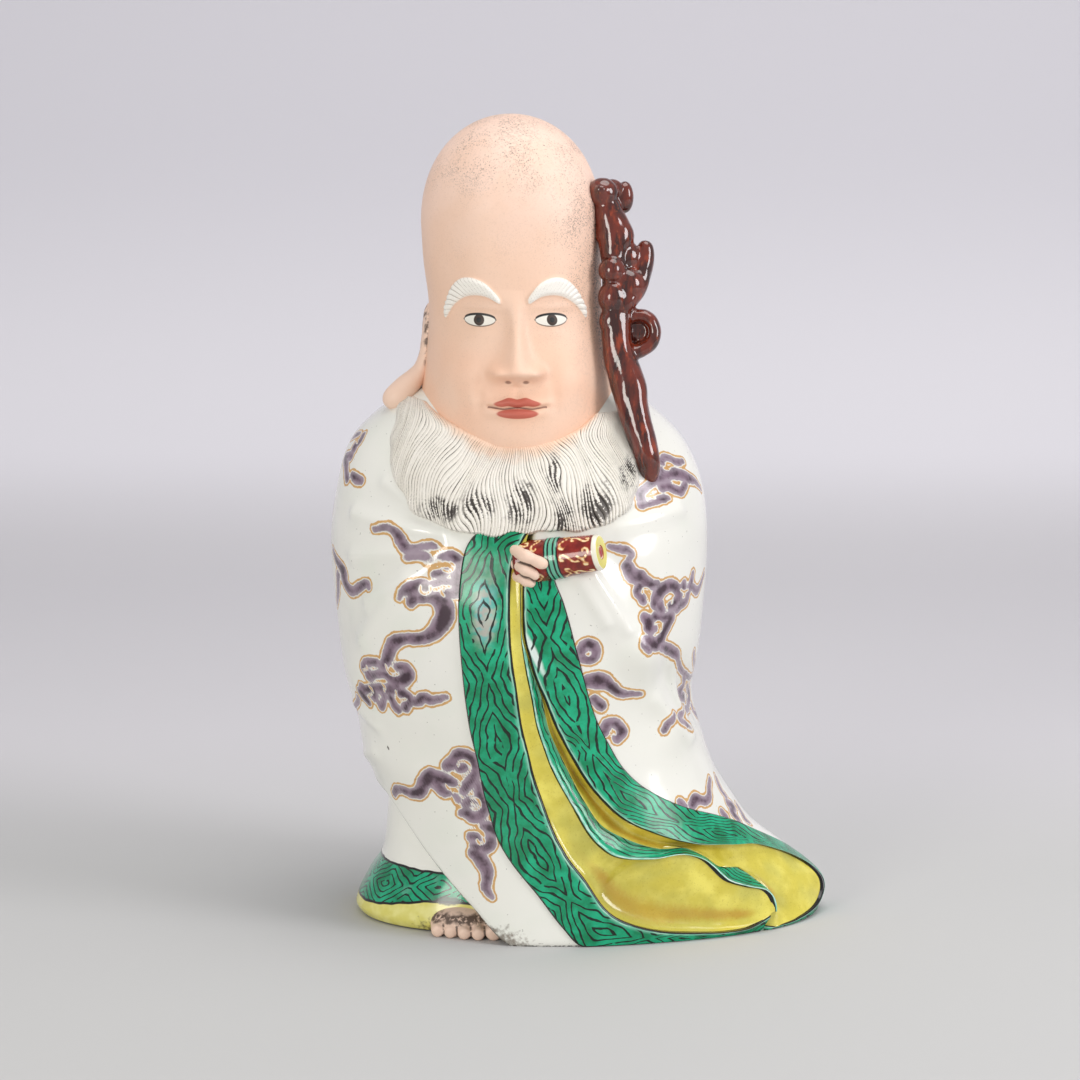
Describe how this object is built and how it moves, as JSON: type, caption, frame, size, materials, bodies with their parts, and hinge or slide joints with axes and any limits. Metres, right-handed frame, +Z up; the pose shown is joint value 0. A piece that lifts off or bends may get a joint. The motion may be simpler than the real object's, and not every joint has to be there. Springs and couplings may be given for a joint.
{
  "type": "porcelain figure",
  "caption": "Enamelled porcelain standing old man with a tall bald head, combed beard, flowing robe, rolled scroll and gnarled staff, made to stand on a flat base.",
  "frame": {"origin": "on the flat underside, below the axis of the head", "axes": "+Z up, the figure looks along -Y, +X towards the staff and the train of the sleeve"},
  "size_m": [0.2356, 0.1615, 0.38],
  "materials": {
    "porcelain": "glossy overglaze enamel"
  },
  "bodies": {
    "root": {"figure": "porcelain"}
  },
  "joints": []
}
